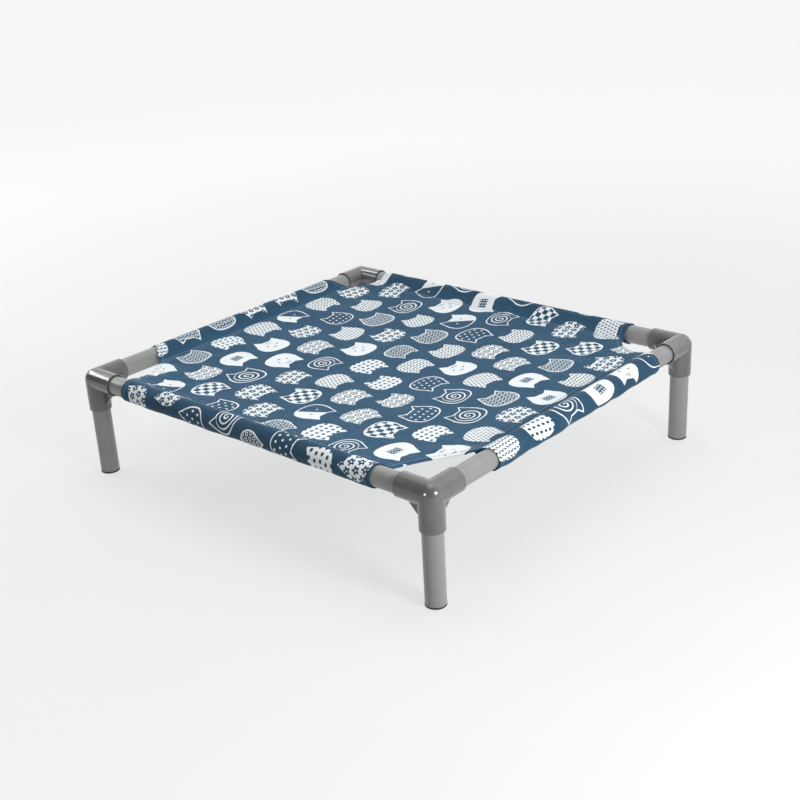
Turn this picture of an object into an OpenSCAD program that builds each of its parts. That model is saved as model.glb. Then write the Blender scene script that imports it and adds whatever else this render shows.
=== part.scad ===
// Raised pet bed: a fabric sling stretched between four plastic tubes that are pushed into
// three-way corner fittings, on four short tube legs with plastic foot caps.
//
// Millimetres, +Z up. The origin is on the floor, under the middle of the bed.
// X runs along the two longer rails, and the front of the bed faces -Y.

/* [Frame] */
// Distance between the axes of the left and right rails
frame_w = 580; // [460:4:900]
// Distance between the axes of the front and back rails
frame_d = 528; // [440:4:800]
// Height of the rail axes above the floor
rail_z = 136; // [100:2:240]

/* [Tube] */
// Outer diameter of every tube
tube_od = 25; // [20:0.5:32]
// Wall thickness of every tube
tube_wall = 2; // [1.4:0.1:3]
// Bevel on the outer edge of each tube end
tube_bevel = 0.6; // [0.2:0.1:1]

/* [Corner fitting] */
// Wall of a socket
socket_wall = 2.45; // [2:0.05:3.5]
// Distance from the corner point to a socket's rim
socket_reach = 42; // [36:1:60]
// How far a tube goes into a socket
socket_depth = 26; // [18:1:28]
// Width of the shoulder that stops a tube
stop_width = 2.5; // [1.5:0.1:4]
// Gap around a tube in a socket's widened mouth
mouth_gap = 1.3; // [0.4:0.1:1.6]
// Depth of the widened mouth
mouth_depth = 9; // [2:1:12]
// Bevel on the outer edge of a socket's rim
rim_bevel = 0.4; // [0.2:0.1:0.6]
// Length of a gusset along each socket, past the corner of the two sockets
gusset_leg = 20; // [6:1:24]
// Thickness of a gusset
gusset_t = 2.4; // [1.5:0.1:4]

/* [Foot cap] */
// Height of a cap's flange, which the tube stands on
cap_flange_h = 2; // [2:0.5:8]
// How far the flange stands out past the tube
cap_lip = 0.2; // [0.2:0.1:2]
// Length of the plug inside the tube
cap_plug_h = 15; // [8:1:24]
// Wall of the hollow plug
cap_plug_wall = 1.8; // [1.2:0.1:3]
// Number of gripping rings on the plug
cap_rings = 3; // [1:1:5]

/* [Sling] */
// Bare length of the front rail at its left and right ends, from the corner points
front_gap = [71, 77]; // [56:1:110]
// Bare length of the back rail at its left and right ends, from the corner points
back_gap = [60, 77]; // [56:1:110]
// Bare length of the left rail at its front and back ends, from the corner points
left_gap = [104, 80]; // [56:1:110]
// Bare length of the right rail at its front and back ends, from the corner points
right_gap = [103, 80]; // [56:1:110]
// Distance from a rail's axis in to the seam that closes its sleeve
seam_in = 22; // [19:0.5:32]
// Thickness of one layer of fabric
cloth_t = 1.2; // [0.6:0.1:1.8]
// Thickness of the deck, with the seam's layers pressed flat
deck_t = 2; // [1.2:0.1:3]
// Width of the turned-in allowance under the deck, past the seam
allowance_w = 12; // [6:1:20]
// How far the edge across each corner bows in, from the front left corner anticlockwise
corner_bow = [13, 21, 20, 8]; // [0:1:24]
// Where each bow is deepest: 1 is halfway, more is nearer the left or right rail
corner_skew = [1.4, 1, 0.7, 1]; // [0.6:0.1:1.6]
// Width of the hem along the edge across a corner
hem_w = 9; // [5:1:14]

/* [Stitching] */
// Width of a line of thread
thread_w = 0.9; // [0.5:0.1:1.5]
// Height of a line of thread above the deck
thread_h = 0.5; // [0.3:0.1:1]
// Distance from a sleeve's edge to its line of thread
thread_in = 3; // [2:0.5:6]

/* [Hidden] */
CORNERS = [
    ["front_left", -1, -1],
    ["front_right", 1, -1],
    ["back_right", 1, 1],
    ["back_left", -1, 1],
];

eps = 0.01;
big = 3 * max(frame_w, frame_d);
half_w = frame_w / 2;
half_d = frame_d / 2;
tube_r = tube_od / 2;
tube_ir = tube_r - tube_wall;
fit_gap = 0.05;
socket_r = tube_r + fit_gap;
socket_or = socket_r + socket_wall;
passage_r = socket_r - stop_width;
stop_at = socket_reach - socket_depth;
leg_len = rail_z - stop_at - cap_flange_h;

sleeve_gap = 0.2;
sleeve_ir = tube_r + sleeve_gap;
sleeve_or = sleeve_ir + cloth_t;
apex_out = seam_in + 1.5;
apex_in = apex_out * sleeve_ir / sleeve_or;
slope = asin(sleeve_or / apex_out);
seam_half_h = (apex_out - seam_in) * tan(slope);
tail_t = 0.9;
hem_t = 0.9;
bow_steps = 12;
wrap_steps = 40;

tube_grey = [0.60, 0.61, 0.61];
fitting_grey = [0.42, 0.43, 0.44];
cap_black = [0.07, 0.07, 0.08];
cloth_blue = [0.25, 0.38, 0.48];
cloth_hem = [0.22, 0.34, 0.44];
thread_blue = [0.55, 0.66, 0.74];

// Where the edge across each corner meets the rails: the first point is on the front or back
// rail's axis, the second on the left or right rail's.
function cut_ends(i) = [
    [[-half_w + front_gap[0], -half_d], [-half_w, -half_d + left_gap[0]]],
    [[half_w - front_gap[1], -half_d], [half_w, -half_d + right_gap[0]]],
    [[half_w - back_gap[1], half_d], [half_w, half_d - right_gap[1]]],
    [[-half_w + back_gap[0], half_d], [-half_w, half_d - left_gap[1]]],
][i];

// The unit vector from the middle of a corner's edge in towards the deck.
function inward(i) =
    let (e = cut_ends(i), along = e[1] - e[0], n = [-along[1], along[0]] / norm(along))
    n * (n * (e[0] + e[1]) > 0 ? -1 : 1);

// A point on a corner's edge, t from 0 to 1, moved in by a further amount.
function edge_point(i, t, further = 0) =
    let (e = cut_ends(i), bow = corner_bow[i] * sin(180 * pow(t, corner_skew[i])))
    e[0] + t * (e[1] - e[0]) + (bow + further) * inward(i);

function edge_points(i, further = 0) =
    [for (k = [0:bow_steps]) edge_point(i, k / bow_steps, further)];

// The stretch of a sleeve's section that wraps the rail, anticlockwise from its upper flank.
function wrap_arc(r) =
    let (turn = (180 + 2 * slope) / wrap_steps)
    [for (k = [0:wrap_steps]) r * [cos(90 - slope + k * turn), sin(90 - slope + k * turn)]];

function reversed(list) = [for (k = [len(list) - 1:-1:0]) list[k]];

// The end of a sleeve, carried straight out past the tube.
function out_x(i) = [cut_ends(i)[0][0], sign(cut_ends(i)[0][1]) * (half_d + big)];
function out_y(i) = [sign(cut_ends(i)[1][0]) * (half_w + big), cut_ends(i)[1][1]];

// The outline of the whole sling in plan, anticlockwise from the front left corner.
sling_outline = concat(
    [out_y(0)], reversed(edge_points(0)), [out_x(0)],
    [out_x(1)], edge_points(1), [out_y(1)],
    [out_y(2)], reversed(edge_points(2)), [out_x(2)],
    [out_x(3)], edge_points(3), [out_y(3)]
);

// A tube from z = 0 to z = length, with its outer edges bevelled at both ends.
module tube(length) {
    color(tube_grey)
    rotate_extrude($fn = 96)
    polygon([
        [tube_ir, 0],
        [tube_r - tube_bevel, 0],
        [tube_r, tube_bevel],
        [tube_r, length - tube_bevel],
        [tube_r - tube_bevel, length],
        [tube_ir, length],
    ]);
}

// A rail along +X, centred on the origin, between two corner points that are span apart.
module rail(span) {
    translate([-span / 2 + stop_at, 0, 0])
    rotate([0, 90, 0])
    tube(span - 2 * stop_at);
}

module leg() {
    translate([0, 0, cap_flange_h])
    tube(leg_len);
}

// One arm of a fitting along +Z from the corner point, solid, with its rim bevelled.
module arm_body() {
    cylinder(h = socket_reach - rim_bevel, r = socket_or, $fn = 96);
    translate([0, 0, socket_reach - rim_bevel])
    cylinder(h = rim_bevel, r1 = socket_or, r2 = socket_or - rim_bevel, $fn = 96);
}

// What is taken out of one arm: the passage, the socket and its widened mouth.
module arm_bore() {
    cylinder(h = socket_reach, r = passage_r, $fn = 96);
    translate([0, 0, stop_at])
    cylinder(h = socket_depth + 1, r = socket_r, $fn = 96);
    translate([0, 0, socket_reach - mouth_depth])
    cylinder(h = mouth_depth + 1, r = tube_r + mouth_gap, $fn = 96);
}

// Turns an arm along +Z to each of the fitting's three directions: +X, +Y and -Z.
module each_arm() {
    rotate([0, 90, 0]) children();
    rotate([-90, 0, 0]) children();
    rotate([180, 0, 0]) children();
}

// A three-cornered web in the angle between the +X and +Y arms.
module gusset() {
    reach = socket_or + gusset_leg;
    inside = socket_or - 1;
    translate([0, 0, -gusset_t / 2])
    linear_extrude(gusset_t)
    polygon([[inside, inside], [reach, inside], [inside, reach]]);
}

// The fitting of the front left corner, with its corner point at the origin.
module corner_fitting() {
    color(fitting_grey)
    difference() {
        union() {
            sphere(r = socket_or, $fn = 96);
            each_arm() arm_body();
            gusset();
            rotate([-90, 0, 0]) gusset();
            rotate([0, 90, 0]) gusset();
        }
        sphere(r = passage_r, $fn = 96);
        each_arm() arm_bore();
    }
}

// The cap under a leg: a flange on the floor and a hollow ringed plug up inside the tube.
module foot_cap() {
    plug_r = tube_ir - 0.25;
    ring_r = tube_ir - fit_gap;
    ring_step = (cap_plug_h - 3) / cap_rings;
    color(cap_black)
    difference() {
        union() {
            rotate_extrude($fn = 96)
            polygon([
                [0, 0],
                [tube_r + cap_lip - 0.6, 0],
                [tube_r + cap_lip, 0.6],
                [tube_r + cap_lip, cap_flange_h - 0.4],
                [tube_r + cap_lip - 0.4, cap_flange_h],
                [0, cap_flange_h],
            ]);
            translate([0, 0, cap_flange_h - eps])
            cylinder(h = cap_plug_h, r = plug_r, $fn = 96);
            for (k = [0:cap_rings - 1]) {
                translate([0, 0, cap_flange_h + 2 + k * ring_step])
                cylinder(h = 1.2, r = ring_r, $fn = 96);
            }
        }
        translate([0, 0, cap_flange_h])
        cylinder(h = cap_plug_h + 1, r = plug_r - cap_plug_wall, $fn = 96);
    }
}

// The section of a sleeve, with the rail's axis at the origin and the deck towards +X.
module sleeve_section() {
    difference() {
        polygon(concat(wrap_arc(sleeve_or), [[seam_in, -seam_half_h], [seam_in, seam_half_h]]));
        polygon(concat(wrap_arc(sleeve_ir), [[apex_in, 0]]));
    }
    translate([seam_in - 1.5, -deck_t / 2 - tail_t])
    square([allowance_w + 1.5, tail_t]);
}

// A sleeve along the front rail's axis, cut to the sling's outline by the caller.
module sleeve_blank(span) {
    rotate([0, -90, 0])
    rotate([0, 0, 90])
    translate([0, 0, -span / 2])
    linear_extrude(span)
    mirror([0, 1])
    sleeve_section();
}

// Keeps only what lies within the sling's outline in plan.
module trimmed() {
    intersection() {
        children();
        translate([0, 0, -big / 2])
        linear_extrude(big)
        polygon(sling_outline);
    }
}

// The deck's rectangle in plan, between the four seams, drawn in by a margin.
module between_seams(margin) {
    size = [frame_w, frame_d] - 2 * (seam_in + margin) * [1, 1];
    square(size, center = true);
}

module sling_deck() {
    color(cloth_blue)
    translate([0, 0, rail_z])
    trimmed()
    translate([0, 0, -deck_t / 2])
    linear_extrude(deck_t)
    between_seams(0);
}

// The sleeve around one rail. turn is 0 for the front rail and goes round anticlockwise,
// and out is the rail's distance from the middle of the bed.
module sleeve(turn, span, out) {
    color(cloth_blue)
    translate([0, 0, rail_z])
    trimmed()
    rotate([0, 0, turn])
    translate([0, -out, 0])
    sleeve_blank(span);
}

// The line of thread that closes a sleeve, on top of the deck.
module seam(turn, span, out) {
    color(thread_blue)
    translate([0, 0, rail_z + deck_t / 2])
    trimmed()
    rotate([0, 0, turn])
    translate([-span / 2, -out + seam_in + thread_in, 0])
    cube([span, thread_w, thread_h]);
}

// The hem along the edge across corner i, turned under the deck between the allowances.
module corner_hem(i) {
    color(cloth_hem)
    translate([0, 0, rail_z - deck_t / 2 - hem_t])
    linear_extrude(hem_t)
    intersection() {
        polygon(concat(edge_points(i), reversed(edge_points(i, hem_w))));
        between_seams(allowance_w + 0.2);
    }
}

// Puts a part drawn at the front left corner at corner c, mirrored to suit it.
module at_corner(c, z = 0) {
    translate([c[1] * half_w, c[2] * half_d, z])
    mirror([c[1] > 0 ? 1 : 0, 0, 0])
    mirror([0, c[2] > 0 ? 1 : 0, 0])
    children();
}

at_corner(CORNERS[0], rail_z) corner_fitting();  // corner_front_left
at_corner(CORNERS[1], rail_z) corner_fitting();  // corner_front_right
at_corner(CORNERS[2], rail_z) corner_fitting();  // corner_back_right
at_corner(CORNERS[3], rail_z) corner_fitting();  // corner_back_left

at_corner(CORNERS[0]) leg();  // leg_front_left
at_corner(CORNERS[1]) leg();  // leg_front_right
at_corner(CORNERS[2]) leg();  // leg_back_right
at_corner(CORNERS[3]) leg();  // leg_back_left

at_corner(CORNERS[0]) foot_cap();  // foot_cap_front_left
at_corner(CORNERS[1]) foot_cap();  // foot_cap_front_right
at_corner(CORNERS[2]) foot_cap();  // foot_cap_back_right
at_corner(CORNERS[3]) foot_cap();  // foot_cap_back_left

corner_hem(0);  // corner_hem_front_left
corner_hem(1);  // corner_hem_front_right
corner_hem(2);  // corner_hem_back_right
corner_hem(3);  // corner_hem_back_left

translate([0, -half_d, rail_z]) rail(frame_w);  // rail_front
translate([0, half_d, rail_z]) rail(frame_w);  // rail_back
translate([-half_w, 0, rail_z]) rotate(90) rail(frame_d);  // rail_left
translate([half_w, 0, rail_z]) rotate(90) rail(frame_d);  // rail_right

sleeve(0, frame_w, half_d);  // sleeve_front
sleeve(90, frame_d, half_w);  // sleeve_right
sleeve(180, frame_w, half_d);  // sleeve_back
sleeve(270, frame_d, half_w);  // sleeve_left

seam(0, frame_w, half_d);  // seam_front
seam(90, frame_d, half_w);  // seam_right
seam(180, frame_w, half_d);  // seam_back
seam(270, frame_d, half_w);  // seam_left

sling_deck();
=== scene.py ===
import math

import bpy
import numpy as np
from mathutils import Matrix, Vector, noise
from mathutils.bvhtree import BVHTree
from mathutils.geometry import delaunay_2d_cdt


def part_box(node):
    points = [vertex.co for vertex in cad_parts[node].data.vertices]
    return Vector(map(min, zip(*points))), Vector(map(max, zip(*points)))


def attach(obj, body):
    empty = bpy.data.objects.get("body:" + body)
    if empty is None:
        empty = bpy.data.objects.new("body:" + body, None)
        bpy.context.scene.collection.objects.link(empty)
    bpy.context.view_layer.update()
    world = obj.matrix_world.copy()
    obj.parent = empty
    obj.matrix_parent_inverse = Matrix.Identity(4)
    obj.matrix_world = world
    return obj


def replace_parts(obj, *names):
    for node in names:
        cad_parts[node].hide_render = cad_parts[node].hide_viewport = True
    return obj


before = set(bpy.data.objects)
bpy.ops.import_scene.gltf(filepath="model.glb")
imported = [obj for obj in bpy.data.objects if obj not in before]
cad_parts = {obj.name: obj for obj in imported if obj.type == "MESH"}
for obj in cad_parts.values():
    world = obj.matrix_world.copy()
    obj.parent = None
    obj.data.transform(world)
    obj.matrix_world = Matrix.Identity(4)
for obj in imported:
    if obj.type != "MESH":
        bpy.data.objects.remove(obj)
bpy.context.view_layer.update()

MM = 0.001
SIDES = ("front", "right", "back", "left")
CORNERS = {
    "front_left": (-1, -1),
    "front_right": (1, -1),
    "back_right": (1, 1),
    "back_left": (-1, 1),
}

# ---------------- sizes read from the frame


def middle(node):
    """The centre of a CAD node's box."""
    low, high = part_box(node)
    return (low + high) / 2


half_w = middle("rail_right").x
half_d = middle("rail_back").y
tube_r = (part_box("rail_front")[1].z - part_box("rail_front")[0].z) / 2
seam_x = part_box("sling_deck")[1].x
seam_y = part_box("sling_deck")[1].y
seam_in = half_w - seam_x
deck_z = middle("sling_deck").z


def sleeve_ends(side):
    """Where a sleeve starts and ends along its rail, on the side of the rail away from the deck."""
    points = np.array([v.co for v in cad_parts[f"sleeve_{side}"].data.vertices])
    across, along, axis = (1, 0, half_d) if side in ("front", "back") else (0, 1, half_w)
    outer = points[np.abs(points[:, across]) > axis + MM]
    return outer[:, along].min(), outer[:, along].max()


ENDS = {side: sleeve_ends(side) for side in SIDES}


def unit(vector):
    """A vector, or each row of an array of them, at length 1."""
    return vector / np.linalg.norm(vector, axis=-1, keepdims=True)


def corner_ends(corner):
    """The ends, in plan, of the edge across a corner: on the front or back rail, then on the side rail."""
    sx, sy = CORNERS[corner]
    along_x = ENDS["back" if sy > 0 else "front"][1 if sx > 0 else 0]
    along_y = ENDS["right" if sx > 0 else "left"][1 if sy > 0 else 0]
    return np.array([along_x, sy * half_d]), np.array([sx * half_w, along_y])


def corner_normal(corner):
    """The unit vector in plan from the edge across a corner in towards the deck."""
    a, b = corner_ends(corner)
    along = unit(b - a)
    normal = np.array([-along[1], along[0]])
    return -normal if normal @ (a + b) > 0 else normal


# Where the edge across each corner bows in most: 1 is halfway, more is nearer the side rail.
CORNER_SKEW = {"front_left": 1.4, "front_right": 1.0, "back_right": 0.7, "back_left": 1.0}


def corner_bow(corner):
    """How far the deck's edge bows in, at most, from the straight line between its ends."""
    sx, sy = CORNERS[corner]
    points = np.array([v.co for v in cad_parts["sling_deck"].data.vertices])[:, :2]
    near = points[(points[:, 0] * sx > 0) & (points[:, 1] * sy > 0)]
    a, _ = corner_ends(corner)
    return float(((near - a) @ corner_normal(corner)).max())


# ---------------- nodes that read as arithmetic


def operation(name):
    """A method that works out one of the Math node's operations."""
    return lambda self, *others: self.maths(name, *others)


class Value:
    """A number worked out by a material's nodes, so that a pattern reads as arithmetic."""

    def __init__(self, tree, socket):
        self.tree = tree
        self.socket = socket

    def maths(self, name, *others):
        node = self.tree.nodes.new("ShaderNodeMath")
        node.operation = name
        for slot, value in zip(node.inputs, (self, *others)):
            feed(self.tree, slot, value)
        return Value(self.tree, node.outputs[0])

    __add__ = __radd__ = operation("ADD")
    __mul__ = __rmul__ = operation("MULTIPLY")
    __sub__ = operation("SUBTRACT")
    __truediv__ = operation("DIVIDE")
    __pow__ = operation("POWER")
    absolute = operation("ABSOLUTE")
    floor = operation("FLOOR")
    fraction = operation("FRACT")
    root = operation("SQRT")
    sine = operation("SINE")
    cosine = operation("COSINE")
    least = operation("MINIMUM")
    most = operation("MAXIMUM")

    def __rsub__(self, other):
        return self * -1 + other

    def equals(self, other):
        """1 where this is within a half of other, and 0 elsewhere."""
        return self.maths("COMPARE", other, 0.5)

    def clamped(self):
        node = self.tree.nodes.new("ShaderNodeClamp")
        feed(self.tree, node.inputs["Value"], self)
        return Value(self.tree, node.outputs[0])

    def ramp(self, start, end, low=0.0, high=1.0):
        """low where this is at start, high where it is at end, and smooth between."""
        node = self.tree.nodes.new("ShaderNodeMapRange")
        node.interpolation_type = "SMOOTHSTEP"
        feed(self.tree, node.inputs["Value"], self)
        for name, number in zip(("From Min", "From Max", "To Min", "To Max"), (start, end, low, high)):
            feed(self.tree, node.inputs[name], number)
        return Value(self.tree, node.outputs[0])


def feed(tree, slot, value):
    """Gives an input a number, a colour or another node's output."""
    if isinstance(value, Value):
        tree.links.new(value.socket, slot)
    else:
        slot.default_value = value


def inked(distance, edge=0.35):
    """1 inside an outline and 0 outside it, from the distance in millimetres, negative inside."""
    return (0.5 - distance / edge).clamped()


def length_of(x, y):
    return (x * x + y * y).root()


class Material:
    """A Principled material and the few kinds of node that the materials here are built from."""

    def __init__(self, name, **constants):
        self.data = bpy.data.materials.new(name)
        self.data.use_nodes = True
        self.tree = self.data.node_tree
        self.shader = self.tree.nodes["Principled BSDF"]
        for socket, number in constants.items():
            self.shader.inputs[socket.replace("_", " ")].default_value = number

    def node(self, kind, **properties):
        made = self.tree.nodes.new(kind)
        for key, value in properties.items():
            setattr(made, key, value)
        return made

    def join(self, x, y, z=0.0):
        made = self.node("ShaderNodeCombineXYZ")
        for slot, value in zip(made.inputs, (x, y, z)):
            feed(self.tree, slot, value)
        return Value(self.tree, made.outputs[0])

    def split(self, vector):
        made = self.node("ShaderNodeSeparateXYZ")
        feed(self.tree, made.inputs[0], vector)
        return [Value(self.tree, output) for output in made.outputs]

    def place(self):
        """The point's place in the row frame, in metres."""
        return Value(self.tree, self.node("ShaderNodeTexCoord").outputs["Object"])

    def cloth_place(self):
        """The point's place on the flat cloth, in millimetres."""
        made = self.node("ShaderNodeUVMap", uv_map=FLAT_MAP)
        u, v, _ = self.split(Value(self.tree, made.outputs[0]))
        return u * 1000, v * 1000

    def noise(self, vector, scale, detail=2.0, roughness=0.5, distortion=0.0):
        made = self.node("ShaderNodeTexNoise")
        feed(self.tree, made.inputs["Vector"], vector)
        for name, number in (
            ("Scale", scale),
            ("Detail", detail),
            ("Roughness", roughness),
            ("Distortion", distortion),
        ):
            feed(self.tree, made.inputs[name], number)
        return Value(self.tree, made.outputs["Fac"])

    def scatter(self, vector):
        """Three even random numbers for each vector."""
        made = self.node("ShaderNodeTexWhiteNoise", noise_dimensions="3D")
        feed(self.tree, made.inputs["Vector"], vector)
        return self.split(Value(self.tree, made.outputs["Color"]))

    def mix(self, share, a, b):
        made = self.node("ShaderNodeMix", data_type="RGBA")
        feed(self.tree, made.inputs[0], share)
        feed(self.tree, made.inputs[6], a)
        feed(self.tree, made.inputs[7], b)
        return Value(self.tree, made.outputs[2])

    def gap_shade(self):
        """1 deep in a narrow gap and 0 in the open: the mask for shade painted into gaps."""
        made = self.node("ShaderNodeAmbientOcclusion", samples=8)
        made.inputs["Distance"].default_value = CREVICE_REACH
        return Value(self.tree, made.outputs["AO"]).ramp(*CREVICE_OPENNESS)

    def bump(self, height, depth, strength=1.0):
        """A bump from a height of 0 to 1 that stands for depth, in metres."""
        made = self.node("ShaderNodeBump")
        made.inputs["Strength"].default_value = strength
        made.inputs["Distance"].default_value = depth
        feed(self.tree, made.inputs["Height"], height)
        self.tree.links.new(made.outputs[0], self.shader.inputs["Normal"])

    def set(self, socket, value):
        feed(self.tree, self.shader.inputs[socket], value)


# ---------------- plastic

TUBE_GREY = (0.256, 0.259, 0.256, 1)
TUBE_GREY_DARK = (0.218, 0.221, 0.218, 1)
TUBE_SCUFF = (0.35, 0.35, 0.34, 1)
FITTING_GREY = (0.108, 0.110, 0.112, 1)
FITTING_GREY_PALE = (0.131, 0.134, 0.137, 1)
FITTING_GREY_WORN = (0.175, 0.178, 0.181, 1)
CAP_BLACK = (0.018, 0.018, 0.019, 1)
CAP_DUST = (0.09, 0.088, 0.085, 1)
# Painted shade: the near-black that colours deep gaps, such as inside the fittings' mouths and where cloth
# meets pipe.
CREVICE_PAINTED_SHADE = (0.012, 0.012, 0.012, 1)
CREVICE_REACH = 5 * MM
CREVICE_OPENNESS = (0.52, 0.14)
MOULD_EDGE = 0.9 * MM
GRAIN_DEPTH = 0.06 * MM
CAP_GRAIN_DEPTH = 0.08 * MM
DUST_HEIGHT = 2.6 * MM


def tube_material(name, axis):
    """Extruded plastic pipe along one axis: draw lines run its whole length, with light scuffs."""
    mat = Material(name, Specular_IOR_Level=0.5, Coat_Weight=0.12, Coat_Roughness=0.18)
    place = mat.split(mat.place())
    across = [value for k, value in enumerate(place) if k != axis]
    lines = mat.noise(mat.join(across[0], across[1], place[axis] * 0.004), 900, detail=3)
    drawn = mat.noise(mat.join(across[0], across[1], place[axis] * 0.02), 160, detail=2)
    patches = mat.noise(mat.join(*place), 14, detail=3, roughness=0.6)
    scuffs = mat.noise(mat.join(*place), 95, detail=6, roughness=0.75, distortion=1.5).ramp(0.60, 0.74)
    shade = (patches * 0.6 + drawn * 0.4).ramp(0.36, 0.66)
    colour = mat.mix(shade, TUBE_GREY_DARK, TUBE_GREY)
    colour = mat.mix(scuffs * 0.22, colour, TUBE_SCUFF)
    # Deep in gaps the pipe's colour is painted near-black as shade.
    mat.set("Base Color", mat.mix(mat.gap_shade(), colour, CREVICE_PAINTED_SHADE))
    mat.set("Roughness", (patches * 0.10 + drawn * 0.08 + scuffs * 0.14 + 0.25).clamped())
    mat.bump(lines * 0.6 + drawn * 0.8 + scuffs * 0.15, GRAIN_DEPTH, 0.7)
    return mat.data


def fitting_material():
    """Moulded plastic, glossier and darker than the pipe, rubbed paler along its edges."""
    mat = Material("fitting", Specular_IOR_Level=0.34, Coat_Weight=0.55, Coat_Roughness=0.05)
    place = mat.place()
    peel = mat.noise(place, 420, detail=2)
    flow = mat.noise(place, 45, detail=4, roughness=0.6, distortion=0.8)
    scuffs = mat.noise(place, 130, detail=6, roughness=0.8, distortion=2.0).ramp(0.62, 0.76)
    soft = mat.node("ShaderNodeBevel", samples=6)
    soft.inputs["Radius"].default_value = MOULD_EDGE
    sharp = mat.node("ShaderNodeNewGeometry")
    turned = mat.node("ShaderNodeVectorMath", operation="DOT_PRODUCT")
    mat.tree.links.new(soft.outputs[0], turned.inputs[0])
    mat.tree.links.new(sharp.outputs["Normal"], turned.inputs[1])
    edges = Value(mat.tree, turned.outputs["Value"]).ramp(0.985, 0.90)
    worn = (edges * flow.ramp(0.35, 0.60) * 0.8 + scuffs * 0.25).clamped()
    base = mat.mix(flow.ramp(0.3, 0.7), FITTING_GREY, FITTING_GREY_PALE)
    colour = mat.mix(worn, base, FITTING_GREY_WORN)
    # Deep in gaps the fitting's colour is painted near-black as shade.
    mat.set("Base Color", mat.mix(mat.gap_shade(), colour, CREVICE_PAINTED_SHADE))
    mat.set("Roughness", (flow * 0.10 + worn * 0.22 + peel * 0.04 + 0.15).clamped())
    mat.bump(peel * 0.3 + flow * 0.6 + scuffs * 0.2, GRAIN_DEPTH, 0.45)
    return mat.data


def cap_material():
    """Soft black plastic with a fine moulded grain, dusty where it meets the floor."""
    mat = Material("foot_cap", Specular_IOR_Level=0.4)
    place = mat.place()
    height = mat.split(place)[2]
    grain = mat.noise(place, 1500, detail=3)
    dust = mat.noise(place, 240, detail=5, roughness=0.7)
    low = height.ramp(DUST_HEIGHT, 0.0)
    mat.set("Base Color", mat.mix((low * 0.5 + 0.1) * dust.ramp(0.4, 0.7), CAP_BLACK, CAP_DUST))
    mat.set("Roughness", (dust * 0.2 + 0.5).clamped())
    mat.bump(grain * 0.7 + dust * 0.6, CAP_GRAIN_DEPTH, 0.6)
    return mat.data


# ---------------- fabric

FLAT_MAP = "flat"
CLOTH_BLUE = (0.0255, 0.084, 0.151, 1)
CLOTH_BLUE_DARK = (0.0173, 0.067, 0.126, 1)
CLOTH_BLUE_FADED = (0.052, 0.124, 0.195, 1)
# The dark blue that the sleeves are painted towards, as shade.
CLOTH_BLUE_SLEEVE_SHADE = (0.006, 0.022, 0.042, 1)
INK_WHITE = (0.84, 0.88, 0.89, 1)
INK_WHITE_LOW = (0.74, 0.79, 0.81, 1)
REVERSE_BLUE = (0.16, 0.24, 0.32, 1)
REVERSE_PALE = (0.34, 0.42, 0.49, 1)
REVERSE_GHOST = (0.55, 0.60, 0.64, 1)
SHEEN_BLUE = (0.80, 0.88, 0.95, 1)
THREAD_BLUE = (0.10, 0.18, 0.27, 1)
THREAD_PALE = (0.22, 0.32, 0.42, 1)

# The print's sizes on the flat cloth are in millimetres, and its angles in radians.
PRINT_PITCH_X = 54.0
PRINT_PITCH_Y = 65.0
COLUMN_STEP = 0.26
HEAD_HALF_W = 26.0
HEAD_HALF_H = 19.0
HEAD_SMALLEST = 0.88
HEAD_TILT = 0.42
HEAD_SHIFT_X = 3.0
HEAD_SHIFT_Y = 4.0
EAR_X = 17.5
EAR_Y = 22.5
OUTLINE_W = 1.7
YARN_PITCH = 0.9
# How much the sleeves are darkened as painted shade, and the distances past the seams, in millimetres,
# over which the darkening comes in.
SLEEVE_SHADE_SHARE = 0.22
SLEEVE_SHADE_RAMP = (0.0, 18.0)

WEAVE_DEPTH = 0.22 * MM
TWIST_DEPTH = 0.1 * MM


def lattice(x, y, pitch, stagger=0.5):
    """Place within the cells of a staggered lattice, from the middle of each cell."""
    row = (y / pitch).floor()
    shifted = x / pitch + row * stagger
    return (shifted.fraction() - 0.5) * pitch, ((y / pitch).fraction() - 0.5) * pitch


def head_outline(p, q):
    """Distance in millimetres from the outline of a plain wide animal head with two short ears."""
    side = p.absolute()
    x, y = side / HEAD_HALF_W, (q + 4.0).absolute() / HEAD_HALF_H
    face = (((x ** 2.5) + (y ** 2.5)) ** 0.4 - 1.0) * HEAD_HALF_H
    outer = (side - EAR_X) * 0.94 + (q - EAR_Y) * 0.34
    inner = (side - EAR_X) * -0.62 + (q - EAR_Y) * 0.79
    ear = outer.most(inner).most(q * -1 + 2.0)
    return face.least(ear)


def dots(p, q):
    """White dots on blue."""
    x, y = lattice(p, q, 9.5)
    return inked(length_of(x, y) - 1.7)


def checks(p, q):
    """A white and blue chequer."""
    turn = math.pi / 8.7
    return inked((p * turn).sine() * (q * turn).sine() * 3.0)


def rings(p, q):
    """Blue rings with a dot in each, on white."""
    x, y = lattice(p, q, 12.5)
    r = length_of(x, y)
    ring = inked((r - 4.2).absolute() - 0.9)
    return 1.0 - ring.most(inked(r - 1.5))


def scallops(p, q):
    """Rows of short blue arcs on white, like roof tiles."""
    x, y = lattice(p, q, 5.8)
    arc = (length_of(x, y - 1.6) - 2.8).absolute() - 0.8
    return 1.0 - inked(arc.most(y * -1 - 0.5))


def flowers(p, q):
    """Blue five-petalled spots with a white eye, on white."""
    x, y = lattice(p, q, 12.5)
    turn = y.maths("ARCTAN2", x)
    r = length_of(x, y)
    petals = inked(r - (turn * 5).cosine() * 1.2 - 4.5)
    return 1.0 - petals * (1.0 - inked(r - 1.3))


def bars(p, q):
    """Short wavy blue bars in staggered rows, on white."""
    x, y = lattice(p, q + (p * 0.9).sine() * 0.9, 6.0)
    return 1.0 - inked((y.absolute() - 1.1).most(x.absolute() - 2.4))


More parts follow.
